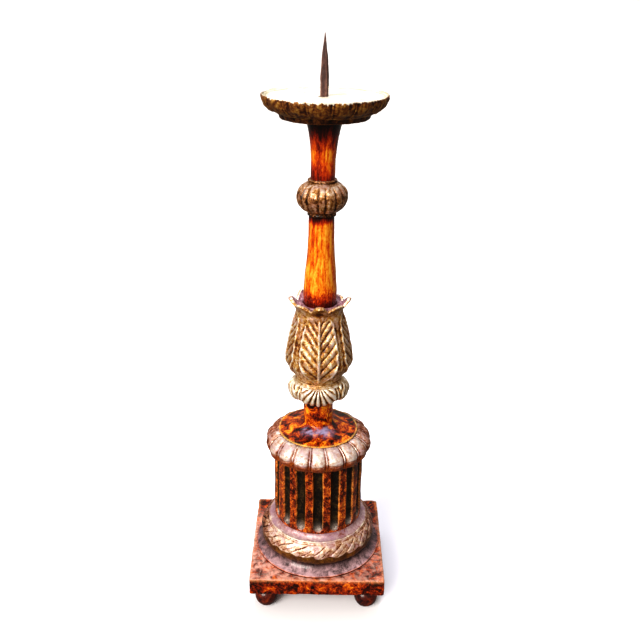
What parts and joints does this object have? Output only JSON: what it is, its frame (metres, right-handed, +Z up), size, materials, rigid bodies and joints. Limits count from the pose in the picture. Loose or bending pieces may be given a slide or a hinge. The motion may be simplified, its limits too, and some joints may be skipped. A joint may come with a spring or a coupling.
{
  "type": "altar candlestick",
  "caption": "Tall carved wooden altar candlestick with a fluted drum base on a square plinth, a leaf calyx, a round drip pan and an iron pricket spike.",
  "frame": {"origin": "on the surface that the feet stand on, under the column's axis", "axes": "+Z up along the column, +X to the right and +Y to the back, parallel to the plinth's sides"},
  "size_m": [0.162, 0.162, 0.662],
  "materials": {
    "forged_iron": "hand-forged iron, rusted dark brown",
    "pan_gesso": "carved wood, worn to pale gesso and silver leaf, with wax stains",
    "red_lacquer": "turned wood under glossy orange-red tinted varnish, darker at its ends",
    "tortoiseshell_lacquer": "wood under glossy tortoiseshell varnish, mottled orange, red and dark brown",
    "dark_lacquer": "wood under dark brown glossy varnish with a purple cast",
    "worn_gilding": "carved wood, water-gilded over red-brown bole and worn on the high places",
    "silver_gilding": "carved wood, silver-gilt, worn, with brown varnish left in the grooves",
    "bare_wood": "bare turned softwood dowel, glued"
  },
  "bodies": {
    "root": {"pricket_spike": "forged_iron", "drip_pan": "pan_gesso", "upper_shaft": "red_lacquer", "melon_knop": "worn_gilding", "middle_shaft": "red_lacquer", "leaf_calyx": "worn_gilding", "leaf_collar": "worn_gilding", "cap_dome": "tortoiseshell_lacquer", "gadroon_ring": "silver_gilding", "fluted_drum": "tortoiseshell_lacquer", "drum_foot_ring": "silver_gilding", "leaf_torus": "worn_gilding", "cavetto_disc": "dark_lacquer", "plinth": "tortoiseshell_lacquer", "ball_foot_front_left": "dark_lacquer", "ball_foot_front_right": "dark_lacquer", "ball_foot_back_left": "dark_lacquer", "ball_foot_back_right": "dark_lacquer", "foot_dowel_front_left": "bare_wood", "foot_dowel_front_right": "bare_wood", "foot_dowel_back_left": "bare_wood", "foot_dowel_back_right": "bare_wood", "base_dowel": "bare_wood", "drum_dowel": "bare_wood", "neck_dowel": "bare_wood", "stem_dowel": "bare_wood", "knop_dowel": "bare_wood"}
  },
  "joints": []
}
